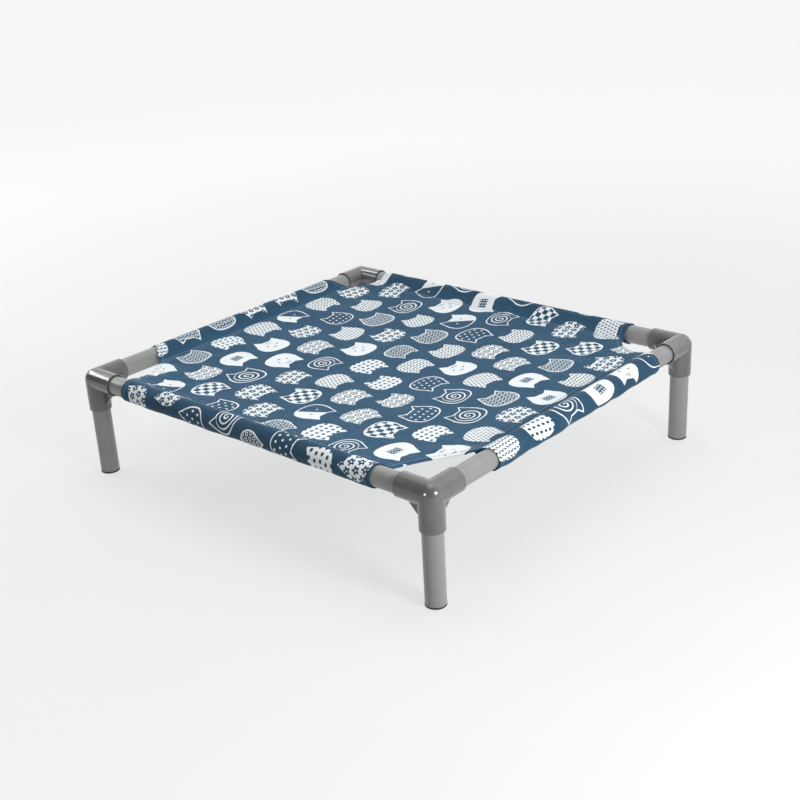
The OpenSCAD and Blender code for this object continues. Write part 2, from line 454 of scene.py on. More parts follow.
def curls(p, q):
    """Small white rings packed on blue."""
    x, y = lattice(p, q, 7.4)
    return inked((length_of(x, y) - 2.3).absolute() - 0.62)


def spiral(p, q):
    """A white spiral on blue."""
    turn = (q + 3.0).maths("ARCTAN2", p) / math.tau
    r = length_of(p / 1.2, q + 3.0)
    wound = (r / 6.2 - turn).fraction() - 0.5
    return inked(wound.absolute() * 6.2 - 1.0) * inked(r - 16.0)


def halves(p, q):
    """Half white with a blue dot and half blue with a white dot, parted by a slanting line."""
    white = inked(p - q * 0.55)
    near = inked(length_of(p + 8.5, q - 1.0) - 1.5)
    far = inked(length_of(p - 8.5, q + 3.0) - 1.5)
    return (white * (1.0 - near)).most(far)


def patch(p, q):
    """White with a small blue check patch in the middle."""
    inside = inked((p.absolute() / 1.3).most((q + 3.5).absolute()) - 6.6)
    a = (p / 4.6).fraction().ramp(0.42, 0.58)
    b = (q / 4.6).fraction().ramp(0.42, 0.58)
    return 1.0 - inside * (1.0 - (1.0 - a) * (1.0 - b))


def plain(p, q):
    """White with two blue dots above a short blue bar, and three bars at the top."""
    side = p.absolute()
    eyes = inked(length_of(side - 9.0, q + 1.0) - 1.6)
    bar = inked((side - 3.4).most((q + 8.5).absolute() - 0.9))
    brow = inked(((p / 5.0).fraction() - 0.5).absolute() * 5.0 - 0.8)
    brow = brow * inked((side - 7.0).most((q - 9.0).absolute() - 2.6))
    return 1.0 - eyes.most(bar).most(brow)


def speckles(p, q):
    """White with large uneven blue spots."""
    x, y = lattice(p + (q * 0.35).sine() * 1.6, q, 9.0)
    return 1.0 - inked(length_of(x, y * 1.3) - 2.7)


FILLS = (
    (plain, False), (dots, True), (checks, True), (rings, False), (scallops, False), (flowers, False),
    (bars, False), (spiral, True), (halves, True), (patch, False), (curls, True), (speckles, False),
    (flowers, False),
)


def print_mask(mat, u, v):
    """The white of the print, from 0 to 1, at a place on the flat cloth in millimetres.

    Heads stand in columns, each with its own fill, size, tilt and offset, half of them upside down.
    """
    column = (u / PRINT_PITCH_X).floor()
    step, _, _ = mat.scatter(mat.join(column, 7.0, 5.0))
    slid = v / PRINT_PITCH_Y + column * 0.5 + step * COLUMN_STEP
    row = slid.floor()
    chance, tilt, size = mat.scatter(mat.join(column, row, 3.0))
    flipped, shift_x, shift_y = mat.scatter(mat.join(column, row, 11.0))
    x = ((u / PRINT_PITCH_X).fraction() - 0.5) * PRINT_PITCH_X + (shift_x - 0.5) * HEAD_SHIFT_X
    y = (slid.fraction() - 0.5) * PRINT_PITCH_Y + (shift_y - 0.5) * HEAD_SHIFT_Y

    angle = (tilt - 0.5) * HEAD_TILT + flipped.ramp(0.499, 0.501, 0.0, math.pi)
    grown = size * (1.0 - HEAD_SMALLEST) + HEAD_SMALLEST
    cosine, sine = angle.cosine(), angle.sine()
    p = (y * cosine - x * sine) / grown
    q = (y * sine + x * cosine) / grown

    outline = head_outline(p, q)
    index = (chance * len(FILLS)).floor()
    white = None
    for k, (fill, outlined) in enumerate(FILLS):
        share = fill(p, q)
        if outlined:
            share = share.most(inked(outline * -1 - OUTLINE_W))
        part = share * index.equals(float(k))
        white = part if white is None else white + part
    return (white * inked(outline)).clamped()


def weave(mat, u, v):
    """The height of a plain canvas weave, from 0 to 1, with uneven yarns."""
    thick_u = mat.noise(mat.join(u * 0.9, v * 0.02), 1.0, detail=1)
    thick_v = mat.noise(mat.join(u * 0.02, v * 0.9), 1.0, detail=1)
    warp = (u * (math.pi / YARN_PITCH)).sine().absolute()
    weft = (v * (math.pi / YARN_PITCH)).sine().absolute()
    over = ((u / YARN_PITCH).floor() + (v / YARN_PITCH).floor()).maths("MODULO", 2.0).absolute()
    woven = warp * over + weft * (1.0 - over)
    return woven * 0.55 + thick_u * 0.5 + thick_v * 0.5 - 0.2


def face_material():
    """The printed face of the canvas."""
    mat = Material("sling_face", Specular_IOR_Level=0.2, Sheen_Weight=0.30, Sheen_Roughness=0.18)
    mat.shader.inputs["Sheen Tint"].default_value = SHEEN_BLUE
    u, v = mat.cloth_place()
    cloth = mat.join(u, v)
    wobble = mat.noise(cloth, 0.35, detail=2) - 0.5
    white = print_mask(mat, u + wobble * 0.7, v + wobble * 0.7)
    yarns = weave(mat, u, v)
    slubs = mat.noise(mat.join(u * 0.35, v * 0.05), 1.0, detail=3).ramp(0.40, 0.72)
    slubs_across = mat.noise(mat.join(u * 0.05, v * 0.35), 1.0, detail=3).ramp(0.40, 0.72)
    clouds = mat.noise(cloth, 0.012, detail=4, roughness=0.55).ramp(0.32, 0.68)
    flecks = mat.noise(cloth, 1.6, detail=2, roughness=0.7).ramp(0.42, 0.74)
    blue = mat.mix(clouds, CLOTH_BLUE_DARK, CLOTH_BLUE)
    faded = (slubs + slubs_across) * 0.16 + flecks * 0.30
    blue = mat.mix(faded.clamped(), blue, CLOTH_BLUE_FADED)
    # The sleeves are painted a deeper blue than the deck, as painted shade.
    sleeve = (u.absolute() - seam_x / MM).most(v.absolute() - seam_y / MM).ramp(*SLEEVE_SHADE_RAMP)
    blue = mat.mix(sleeve * SLEEVE_SHADE_SHARE, blue, CLOTH_BLUE_SLEEVE_SHADE)
    ink = mat.mix(yarns.ramp(0.1, 0.9), INK_WHITE_LOW, INK_WHITE)
    covered = white * (flecks * -0.06 + yarns * 0.08 + 0.93).clamped()
    mat.set("Base Color", mat.mix(covered, blue, ink))
    mat.set("Roughness", (0.86 - white * 0.10 + flecks * 0.05).clamped())
    mat.bump(yarns + (slubs + slubs_across) * 0.25 + white * 0.12, WEAVE_DEPTH, 0.75)
    return mat.data


def reverse_material():
    """The unprinted back of the canvas: the dye shows paler and the print only as a ghost."""
    mat = Material("sling_reverse", Specular_IOR_Level=0.2, Sheen_Weight=0.25, Sheen_Roughness=0.5)
    u, v = mat.cloth_place()
    cloth = mat.join(u, v)
    ghost = print_mask(mat, u, v)
    yarns = weave(mat, u, v)
    clouds = mat.noise(cloth, 0.02, detail=4).ramp(0.32, 0.68)
    flecks = mat.noise(cloth, 1.3, detail=3, roughness=0.7).ramp(0.36, 0.70)
    ground = mat.mix((clouds * 0.3 + flecks * 0.5).clamped(), REVERSE_BLUE, REVERSE_PALE)
    mat.set("Base Color", mat.mix(ghost * 0.34, ground, REVERSE_GHOST))
    mat.set("Roughness", (0.86 + flecks * 0.08).clamped())
    mat.bump(yarns, WEAVE_DEPTH, 0.75)
    return mat.data


def thread_material():
    """Two-ply sewing thread, with its twist as slanting ridges."""
    mat = Material("thread", Specular_IOR_Level=0.35, Sheen_Weight=0.4, Sheen_Roughness=0.4)
    place = mat.place()
    x, y, z = mat.split(place)
    twist = ((x + y + z * 1.5) * 9000).sine() * 0.5 + 0.5
    fuzz = mat.noise(place, 700, detail=3)
    mat.set("Base Color", mat.mix(fuzz * 0.7 + twist * 0.3, THREAD_BLUE, THREAD_PALE))
    mat.set("Roughness", (fuzz * 0.2 + 0.55).clamped())
    mat.bump(twist * 0.6 + fuzz * 0.4, TWIST_DEPTH, 0.8)
    return mat.data


# ---------------- the cloth's path round a rail

CLOTH_T = 1.1 * MM
WRAP_GAP = 0.3 * MM
ALLOWANCE = 12 * MM
PATH_STEP = 0.25 * MM
FOLD_SOFTNESS = 1.3 * MM
FOLD_GAP = 0.1 * MM
DECK_RUN = 24 * MM


def run_along(points):
    """How far along a line of points each of them is."""
    return np.concatenate([[0], np.cumsum(np.linalg.norm(np.diff(points, axis=0), axis=1))])


def softened(values, reach):
    """A smooth run through evenly spaced points, with the ends held."""
    offsets = np.arange(-4 * reach, 4 * reach + 1)
    weights = np.exp(-0.5 * (offsets / reach) ** 2)
    weights /= weights.sum()
    padded = np.concatenate([
        2 * values[0] - values[len(offsets) // 2:0:-1],
        values,
        2 * values[-1] - values[-2:-len(offsets) // 2 - 1:-1],
    ])
    return np.convolve(padded, weights, mode="valid")


def wrap_path():
    """The cloth's middle line from the deck over a rail and back under the deck.

    Returns distance along the cloth from the seam, distance in from the rail's axis, and height
    above the deck's middle, all evenly spaced along the cloth.
    """
    r = tube_r + WRAP_GAP + CLOTH_T / 2
    under = CLOTH_T + FOLD_GAP
    top_turn = math.acos(r / seam_in)
    low_turn = math.acos(r / math.hypot(seam_in, under)) + math.atan2(under, seam_in)
    angles = np.radians(np.arange(math.degrees(top_turn), 360 - math.degrees(low_turn), 1.0))
    points = [(seam_in + DECK_RUN, 0.0), (seam_in, 0.0)]
    points += [(r * math.cos(a), r * math.sin(a)) for a in angles]
    points += [(seam_in, -under), (seam_in + ALLOWANCE, -under)]
    points = np.array(points)
    run = run_along(points)
    along = np.arange(0, run[-1], PATH_STEP)
    inward, height = (np.interp(along, run, points[:, k]) for k in (0, 1))
    reach = FOLD_SOFTNESS / PATH_STEP
    return along - DECK_RUN, softened(inward, reach), softened(height, reach)


PATH_ALONG, PATH_IN, PATH_UP = wrap_path()
PATH_LINES = (PATH_IN, PATH_UP, np.gradient(PATH_IN, PATH_STEP), np.gradient(PATH_UP, PATH_STEP))
WRAP_END = float(PATH_ALONG[-1])
TOP_AT = float(PATH_ALONG[np.argmax(PATH_UP)])


def past_seam(plan):
    """Distance along the cloth past a seam, for a distance in plan out from the seam to a rail's top."""
    rising = (PATH_ALONG >= 0) & (PATH_ALONG <= TOP_AT)
    return np.interp(plan, seam_in - PATH_IN[rising], PATH_ALONG[rising])


def flat_from_plan(value, seam):
    """A plan coordinate's place on the flat cloth."""
    return value if abs(value) <= seam else math.copysign(seam + past_seam(abs(value) - seam), value)


# ---------------- the cloth's cut

EDGE_STEP = 3.0 * MM
CORNER_EDGE_POINTS = 48
# The grid is fine from SEAM_INNER before each seam to SEAM_OUTER past it.
SEAM_INNER = 12 * MM
SEAM_OUTER = 6 * MM
DECK_STEP = 4.0 * MM
SEAM_STEP = 1.4 * MM
WRAP_STEP = 2.0 * MM
GRID_MARGIN = 0.9 * MM
# How many points are compared with a whole outline at a time.
CHUNK = 4000


def corner_edge(corner):
    """The edge across a corner on the flat cloth, from the front or back rail to the side rail."""
    a, b = corner_ends(corner)
    normal = corner_normal(corner)
    bow = corner_bow(corner)
    edge = []
    for t in np.linspace(0, 1, CORNER_EDGE_POINTS):
        x, y = a + t * (b - a) + bow * math.sin(math.pi * t ** CORNER_SKEW[corner]) * normal
        edge.append((flat_from_plan(x, seam_x), flat_from_plan(y, seam_y)))
    return edge


def straight(a, b):
    """Evenly spaced points from a up to, but without, b."""
    count = max(1, round(math.dist(a, b) / EDGE_STEP))
    return [tuple(np.add(a, np.subtract(b, a) * k / count)) for k in range(count)]


def cloth_outline():
    """The flat cloth's outline, anticlockwise: four flaps joined by the edges across the corners."""
    stops = []
    for corner, (sx, sy) in CORNERS.items():
        edge = corner_edge(corner)
        flap_y = [(edge[0][0], sy * (seam_y + WRAP_END))]
        flap_x = [(sx * (seam_x + WRAP_END), edge[-1][1])]
        run = flap_y + edge + flap_x
        stops.append(run if sx * sy < 0 else run[::-1])
    outline = []
    for k, run in enumerate(stops):
        following = stops[(k + 1) % len(stops)]
        outline += straight(run[0], run[1]) + run[1:-2] + straight(run[-2], run[-1])
        outline += straight(run[-1], following[0])
    return np.array(outline)


def edge_distance(points, outline):
    """How far each point is from an outline."""
    steps = np.roll(outline, -1, axis=0) - outline
    result = np.zeros(len(points))
    for start in range(0, len(points), CHUNK):
        away = points[start:start + CHUNK, None] - outline
        t = np.clip((away * steps).sum(2) / (steps * steps).sum(1), 0, 1)
        result[start:start + CHUNK] = np.linalg.norm(away - t[..., None] * steps, axis=2).min(1)
    return result


def inside(points, outline, margin):
    """Which points lie inside an outline and at least margin from it."""
    a, b = outline, np.roll(outline, -1, axis=0)
    run, rise = (b - a).T
    rise = np.where(rise == 0, 1e-12, rise)
    odd = np.zeros(len(points), bool)
    for start in range(0, len(points), CHUNK):
        x, y = (points[start:start + CHUNK, k, None] for k in (0, 1))
        crosses = (a[:, 1] > y) != (b[:, 1] > y)
        odd[start:start + CHUNK] = (crosses & (x < a[:, 0] + (y - a[:, 1]) * run / rise)).sum(1) % 2 == 1
    return odd & (edge_distance(points, outline) > margin)


def spread(start, end, step):
    """Evenly spaced numbers from start to end, about a step apart."""
    return np.linspace(start, end, round((end - start) / step) + 1)


def grid_lines(seam):
    """Grid lines across the cloth one way: close together at the seams, wider in the deck."""
    inner, outer = seam - SEAM_INNER, seam + SEAM_OUTER
    near = spread(inner, outer, SEAM_STEP)[1:]
    wrap = spread(outer, seam + WRAP_END, WRAP_STEP)[1:]
    side = np.concatenate([near, wrap])
    return np.concatenate([-side[::-1], spread(-inner, inner, DECK_STEP), side])


def triangulated(outline, lines_u, lines_v, margin):
    """Points and triangles that fill an outline, on a grid away from its edge."""
    grid = np.stack(np.meshgrid(lines_u, lines_v, indexing="ij"), axis=-1).reshape(-1, 2)
    grid = grid[inside(grid, outline, margin)]
    points = [Vector(p) for p in np.concatenate([outline, grid])]
    made = delaunay_2d_cdt(points, [], [list(range(len(outline)))], 1, 1e-7)
    return np.array([tuple(p) for p in made[0]]), np.array([tuple(f) for f in made[2]])


# ---------------- the deck's sag, by simulation

SAG = 9.5 * MM
SIM_STEP = 8 * MM
SIM_MARGIN = 0.45 * SIM_STEP
SIM_FRAMES = 30
CANVAS = {
    "quality": 8,
    "mass": 0.25,
    "tension_stiffness": 40,
    "compression_stiffness": 40,
    "shear_stiffness": 12,
    "bending_stiffness": 1.5,
    "tension_damping": 15,
    "compression_damping": 15,
    "air_damping": 4,
    "vertex_group_mass": "seams",
}


def deck_outline():
    """The part of the cloth's outline between the four seams, with the seams closing it."""
    held = np.array([seam_x, seam_y])
    kept = []
    for corner in CORNERS:
        sx, sy = CORNERS[corner]
        edge = [np.array(p) for p in corner_edge(corner)]
        if sx * sy > 0:
            edge = edge[::-1]
        run = []
        for a, b in zip(edge, edge[1:]):
            for t in np.linspace(0, 1, 8, endpoint=False):
                p = a + t * (b - a)
                if (np.abs(p) <= held).all():
                    run.append(p)
        kept.append(run)
    result = []
    for k, run in enumerate(kept):
        following = kept[(k + 1) % len(kept)]
        result += [tuple(p) for p in run[::4]] + [tuple(run[-1])]
        a, b = (np.where(held - np.abs(p) < 2 * MM, np.sign(p) * held, p) for p in (run[-1], following[0]))
        count = round(math.dist(a, b) / SIM_STEP)
        result += [tuple(a + (b - a) * j / count) for j in range(count + 1)]
    spaced = [result[0]]
    for p in result[1:]:
        if math.dist(p, spaced[-1]) > 1 * MM:
            spaced.append(p)
    return np.array(spaced)


def mesh_object(name, points, faces):
    mesh = bpy.data.meshes.new(name)
    mesh.from_pydata([tuple(p) for p in points], [], [[int(i) for i in f] for f in faces])
    made = bpy.data.objects.new(name, mesh)
    bpy.context.scene.collection.objects.link(made)
    return made


def simulated_deck():
    """Lets the deck, held along its four seams, hang under its own weight.

    Returns the flat points, the triangles and how far each point moved.
    """
    outline = deck_outline()
    lines = [np.arange(-seam + SIM_STEP, seam, SIM_STEP) for seam in (seam_x, seam_y)]
    flat, faces = triangulated(outline, *lines, SIM_MARGIN)
    start = np.column_stack([flat, np.full(len(flat), deck_z)])
    cloth = mesh_object("deck_sim", start, faces)
    held = cloth.vertex_groups.new(name="seams")
    on_seam = (np.abs(np.abs(flat) - [seam_x, seam_y]) < 0.5 * MM).any(1)
    held.add([int(i) for i in np.nonzero(on_seam)[0]], 1.0, "REPLACE")
    modifier = cloth.modifiers.new("Cloth", "CLOTH")
    for setting, value in CANVAS.items():
        setattr(modifier.settings, setting, value)
    modifier.collision_settings.use_collision = False
    modifier.collision_settings.use_self_collision = False
    modifier.point_cache.frame_end = SIM_FRAMES
    scene = bpy.context.scene
    for frame_number in range(1, SIM_FRAMES + 1):
        scene.frame_set(frame_number)
    evaluated = cloth.evaluated_get(bpy.context.evaluated_depsgraph_get())
    ended = np.array([v.co for v in evaluated.data.vertices])
    scene.frame_set(1)
    bpy.data.objects.remove(cloth)
    return flat, faces, ended - start


def sagging(points):
    """How far each flat point of the deck moves from the flat, in metres, scaled to the real sag."""
    moved = np.zeros((len(points), 3))
    flat, faces, change = simulated_deck()
    tree = flat_tree(flat, faces)
    depth = -change[:, 2].min()
    print("simulated sag", round(depth / MM, 2), "mm")
    change = change * SAG / depth
    for k, (u, v) in enumerate(points):
        corners, weights = weights_at(tree, flat, faces, u, v)
        moved[k] = weights @ change[corners]
    return moved


def flat_tree(flat, faces):
    """A tree that finds the triangle of a flat mesh at a place."""
    return BVHTree.FromPolygons([(u, v, 0.0) for u, v in flat], faces.tolist())


def weights_at(tree, flat, faces, u, v):
    """The corners of the triangle at a flat place, and how much each of them counts there."""
    place, _, face, _ = tree.find_nearest((u, v, 0.0))
    corners = faces[face]
    (ax, ay), (bx, by), (cx, cy) = flat[corners]
    area = (bx - ax) * (cy - ay) - (cx - ax) * (by - ay)
    wb = ((place[0] - ax) * (cy - ay) - (cx - ax) * (place[1] - ay)) / area
    wc = ((bx - ax) * (place[1] - ay) - (place[0] - ax) * (by - ay)) / area
    return corners, np.array([1 - wb - wc, wb, wc])


# ---------------- the sling

STITCH_ROWS = (2.2 * MM, 8.5 * MM)
ROW_DIP = 0.35 * MM
ROW_DIP_REACH = 1.3 * MM
HEM_W = 8 * MM
HEM_LIFT = 0.45 * MM
HEM_ROW = 0.72 * HEM_W
HEM_ROW_REACH = 1.1 * MM
PUCKER = 0.28 * MM
PUCKER_REACH = 7 * MM
PULL = 0.55 * MM
PULLS_PER_RADIAN = 15
PULL_START = 50 * MM
PULL_REACH = 85 * MM
RIPPLE = 0.7 * MM
RIPPLE_FINE = 0.16 * MM
CALM_REACH = 30 * MM


def drift(seed, *place):
    """Smooth noise from -1 to 1."""
    x, y, z = (*place, 0.0, 0.0)[:3]
    return noise.noise(Vector((x + seed * 17.3, y + seed * 5.1, z + seed * 9.7)))


SLACK = {"front": 1.7 * MM, "right": 3.0 * MM, "back": 1.2 * MM, "left": 1.2 * MM}


def wrap_slack(side, along, at):
    """How far the cloth stands off the rail at a place along it and at a distance round it."""
    seed = SIDES.index(side) + 1
    starts = np.clip((at - TOP_AT - 8 * MM) / (16 * MM), 0, 1)
    ends = np.clip((WRAP_END - ALLOWANCE - 4 * MM - at) / (14 * MM), 0, 1)
    slow = drift(seed, along / 0.036, at / 0.05)
    folds = drift(seed + 7, along / 0.019 + at / 0.035, at / 0.060)
    return starts * ends * SLACK[side] * max(0.0, 0.42 + 0.75 * slow + 0.35 * folds)


def pucker(seed, along, away):
    """Small gathers that the stitching pulls into the cloth beside a seam."""
    fade = math.exp(-((away / PUCKER_REACH) ** 2))
    return PUCKER * fade * (drift(seed, along / 0.0085) + 0.6 * drift(seed + 3, along / 0.019))


def row_dip(away):
    """How far the stitch rows pull the cloth down, at a distance in from the seam."""
    return -sum(ROW_DIP * math.exp(-(((away - row) / ROW_DIP_REACH) ** 2)) for row in STITCH_ROWS)


def pull_lines(u, v):
    """Faint ridges that fan out over the deck from the ends of the sleeves, where the cloth is held."""
    height = 0.0
    for k, corner in enumerate(CORNERS):
        for j, (px, py) in enumerate(corner_ends(corner)):
            dx, dy = px - u, py - v
            far = math.hypot(dx, dy)
            turn = math.atan2(dy, dx)
            fade = math.exp(-(((far - PULL_START) / PULL_REACH) ** 2))
            wave = turn * PULLS_PER_RADIAN + 2 * k + 3 * j + 1.5 * drift(k, turn * 2.0)
            height += PULL * fade * math.sin(wave)
    return height


def deck_ripple(u, v):
    """Slight unevenness in the stretched cloth."""
    broad = drift(21, u / 0.16, v / 0.16)
    fine = drift(23, u / 0.045, v / 0.07)
    return RIPPLE * broad + RIPPLE_FINE * fine


# How far the taut cloth lifts above the deck at the two ends of each edge across a corner: on the
# front or back rail, then on the side rail.
END_LIFTS = {
    "front_left": (8.5 * MM, 0.0),
    "front_right": (0.8 * MM, 7.5 * MM),
    "back_right": (0.0, 7.5 * MM),
    "back_left": (2.0 * MM, 2.0 * MM),
}
LIFT_ALONG = 55 * MM
LIFT_ACROSS = 32 * MM
# Past this distance from the middle of an edge, its ends lift nothing.
LIFT_REACH = 200 * MM
# Over a rail the lift fades by a power, to nothing this far in from the rail's axis.
LIFT_FADE = 1.4
LIFT_FROM = 4.4 * MM


def end_lifts():
    """What end_lift needs to know about each edge across a corner."""
    known = []
    for corner, lifts in END_LIFTS.items():
        a, b = corner_ends(corner)
        known.append((a, b, corner_normal(corner), corner_bow(corner), CORNER_SKEW[corner], lifts))
    return known


def end_lift(x, y, known):
    """How far the cloth at a place in plan is lifted by the taut ends of the edges across the corners."""
    p = np.array([x, y])
    height = 0.0
    for a, b, normal, bow, skew, lifts in known:
        if np.abs(p - (a + b) / 2).max() > LIFT_REACH:
            continue
        t = np.clip((p - a) @ (b - a) / ((b - a) @ (b - a)), 0, 1)
        off = max(0.0, (p - a) @ normal - bow * math.sin(math.pi * t ** skew))
        for end, lift in zip((a, b), lifts):
            along = math.dist(p, end)
            height += lift * math.exp(-((along / LIFT_ALONG) ** 2) - (off / LIFT_ACROSS) ** 2)
    return height


def side_of(u, v):
    """The flap that a flat point is on, its place along the rail and its distance past the seam."""
    over_x, over_y = abs(u) - seam_x, abs(v) - seam_y
    if over_x >= over_y:
        return ("right" if u > 0 else "left"), v, over_x
    return ("back" if v > 0 else "front"), u, over_y


def outward(side):
    """The unit vector in plan from the middle of the bed out to a rail."""
    return {"front": (0, -1), "right": (1, 0), "back": (0, 1), "left": (-1, 0)}[side]


def on_rail(side, along, inward, up):
    """The point at a distance in from a rail's axis and a height above the deck's middle."""
    ox, oy = outward(side)
    reach = (half_w if ox else half_d) - inward
    return np.array([
        ox * reach if ox else along,
        oy * reach if oy else along,
        deck_z + up,
    ])


def deck_height(u, v, seed, known):
    """How far the deck's cloth stands above the deck's middle at a flat place, before it sags."""
    away_x, away_y = seam_x - abs(u), seam_y - abs(v)
    calm = 1 - math.exp(-((min(away_x, away_y) / CALM_REACH) ** 2))
    height = (deck_ripple(u, v) + pull_lines(u, v)) * calm + end_lift(u, v, known)
    for shift, place, away in ((1, v, away_x), (0, u, away_y)):
        height += np.interp(-away, PATH_ALONG, PATH_UP) + row_dip(away) + pucker(seed + shift, place, away)
    return height


def wrap_point(side, along, past, seed, known):
    """Where a flat point past a seam lies: round the rail, and off it where the cloth is slack."""
    inward, up, slope_in, slope_up = (float(np.interp(past, PATH_ALONG, line)) for line in PATH_LINES)
    steep = math.hypot(slope_in, slope_up)
    off = (wrap_slack(side, along, past) + pucker(seed, along, past)) / steep
    point = on_rail(side, along, inward + slope_up * off, up - slope_in * off)
    if inward > LIFT_FROM:
        share = min(1.0, (inward - LIFT_FROM) / (seam_in - LIFT_FROM)) ** LIFT_FADE
        point[2] += share * end_lift(*point[:2], known)
    if past > WRAP_END - ALLOWANCE:
        point[2] += tail_drop(inward - seam_in)
    return point


def sling_points(flat, moved):
    """Where each point of the flat cloth lies on the bed."""
    placed = np.zeros((len(flat), 3))
    known = end_lifts()
    for k, (u, v) in enumerate(flat):
        side, along, past = side_of(u, v)
        seed = 31 + SIDES.index(side)
        if past <= 0:
            placed[k] = np.array([u, v, deck_z + deck_height(u, v, seed, known)]) + moved[k]
        else:
            placed[k] = wrap_point(side, along, past, seed, known)
    return placed


def tail_drop(inside_seam):
    """How far the deck has sagged at the seam allowance, which lies against it."""
    return -max(0.0, inside_seam) * 4 * SAG / (seam_x + seam_y)


def point_normals(points, faces):
    normals = np.zeros_like(points)
    a, b, c = (points[faces[:, k]] for k in range(3))
    cross = np.cross(b - a, c - a)
    for k in range(3):
        np.add.at(normals, faces[:, k], cross)
    return normals / np.maximum(np.linalg.norm(normals, axis=1), 1e-12)[:, None]


def flat_uv(mesh, flat):
    layer = mesh.uv_layers.new(name=FLAT_MAP)
    for loop in mesh.loops:
        layer.data[loop.index].uv = flat[loop.vertex_index]


class Cloth:
    """The sling: its flat points, their places on the bed, and what lies at any flat point."""

    def __init__(self):
        self.outline = cloth_outline()
        lines = (grid_lines(seam) for seam in (seam_x, seam_y))
        self.flat, self.faces = triangulated(self.outline, *lines, GRID_MARGIN)
        deck = (np.abs(self.flat) <= [seam_x, seam_y]).all(1)
        moved = np.zeros((len(self.flat), 3))
        moved[deck] = sagging(self.flat[deck])
        self.points = sling_points(self.flat, moved)
        self.normals = point_normals(self.points, self.faces)
        self.points += self.normals * self.hem_lift()[:, None]
        self.tree = flat_tree(self.flat, self.faces)

    def hem_lift(self):
        """How far the cut edge stands up where it is folded double, with a groove at its stitches."""
        past_row = edge_distance(self.flat, self.outline) - HEM_ROW
        hem = np.clip(1 - past_row / (HEM_W - HEM_ROW), 0, 1)
        groove = np.exp(-((past_row / HEM_ROW_REACH) ** 2))
        lift = HEM_LIFT * hem * hem * (3 - 2 * hem) - ROW_DIP * groove
        past_seam = np.abs(self.flat) - [seam_x, seam_y]
        lift[(past_seam > WRAP_END - ALLOWANCE - 6 * MM).any(1)] = 0
        return lift

    def at(self, u, v):
        """The place and normal of the cloth's middle at a flat point."""
        corners, weights = weights_at(self.tree, self.flat, self.faces, u, v)
        return weights @ self.points[corners], unit(weights @ self.normals[corners])

    def shell(self):
        """The cloth with its thickness: a face, a reverse and a rounded cut edge."""
        count, rim = len(self.flat), len(self.outline)
        half = CLOTH_T / 2
        edge = np.arange(rim)
        along = self.points[np.roll(edge, -1)] - self.points[np.roll(edge, 1)]
        out = unit(np.cross(along, self.normals[edge]))
        face = self.points + self.normals * half
        reverse = self.points - self.normals * half
        bulge = self.points[edge] + out * half * 0.8
        points = np.concatenate([face, reverse, bulge])
        faces = self.faces.tolist() + (self.faces[:, ::-1] + count).tolist()
        for a in range(rim):
            b = (a + 1) % rim
            faces.append((b, a, 2 * count + a, 2 * count + b))
            faces.append((2 * count + b, 2 * count + a, count + a, count + b))
        made = mesh_object("sling", points, faces)
        mesh = made.data
        flat_uv(mesh, np.concatenate([self.flat, self.flat, self.flat[edge]]))
        mesh.materials.append(MATERIALS["face"])
        mesh.materials.append(MATERIALS["reverse"])
        for polygon in mesh.polygons:
            polygon.use_smooth = True
            polygon.material_index = int(len(self.faces) <= polygon.index < 2 * len(self.faces))
        return made


# ---------------- thread and hems

STITCH_LENGTH = 3.1 * MM
STITCH_PITCH = 3.8 * MM
THREAD_R = 0.32 * MM
STITCH_RINGS = 7
STITCH_SIDES = 6
# A seam's rows are looked for within ROW_REACH of its middle, and end ROW_MARGIN from the cut edge.
ROW_REACH = 300 * MM
ROW_STEP = 0.5 * MM
ROW_MARGIN = 4 * MM


def tube_faces(first, rings, sides):
    """The faces of a closed tube whose rings of points start at an index."""
    last = first + (rings - 1) * sides
    faces = []
    for ring in range(first, last, sides):
        for side in range(sides):
            a, b = ring + side, ring + (side + 1) % sides
            faces.append((a, b, b + sides, a + sides))
    faces.append(tuple(range(first + sides - 1, first - 1, -1)))
    faces.append(tuple(range(last, last + sides)))
    return faces


def dressed(made, look):
    """Gives a sewn piece its material, smooth sides and flat ends, and fixes it to the bed."""
    made.data.materials.append(MATERIALS[look])
    for polygon in made.data.polygons:
        polygon.use_smooth = len(polygon.vertices) == 4
    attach(made, "root")
    return made


def stitch(start, end, normal, points, faces):
    """Adds one stitch: a short thread that rises out of the cloth, lies along it and dips in again."""
    run = end - start
    across = np.cross(normal, unit(run))
    faces += tube_faces(len(points), STITCH_RINGS, STITCH_SIDES)
    for ring in range(STITCH_RINGS):
        t = ring / (STITCH_RINGS - 1)
        arch = math.sin(math.pi * t) ** 0.6
        centre = start + run * t + normal * (THREAD_R * (1.15 * arch - 0.5))
        thick = THREAD_R * (0.55 + 0.45 * arch)
        for side in range(STITCH_SIDES):
            a = math.tau * side / STITCH_SIDES
            points.append(centre + thick * (across * math.cos(a) + normal * math.sin(a)))


def spaced_along(path, step):
    """Points a step apart along a run of flat points."""
    path = np.array(path)
    run = run_along(path)
    at = np.arange(0, run[-1], step)
    return np.column_stack([np.interp(at, run, path[:, k]) for k in (0, 1)])


def stitched(name, rows):
    """One piece of thread work: a row of stitches along each run of flat points."""
    points, faces = [], []
    for row in rows:
        for u, v, du, dv in with_direction(row):
            ends = []
            for way in (-0.5, 0.5):
                place, normal = cloth.at(u + du * way * STITCH_LENGTH, v + dv * way * STITCH_LENGTH)
                ends.append((place + normal * CLOTH_T / 2, normal))
            (start, start_normal), (end, end_normal) = ends
            stitch(start, end, unit(start_normal + end_normal), points, faces)
    return dressed(mesh_object(name, points, faces), "thread")


def with_direction(row):
    """Each stitch's middle on the flat cloth and the way it runs."""
    middles = spaced_along(row, STITCH_PITCH)
    return np.hstack([middles, unit(np.gradient(middles, axis=0))])


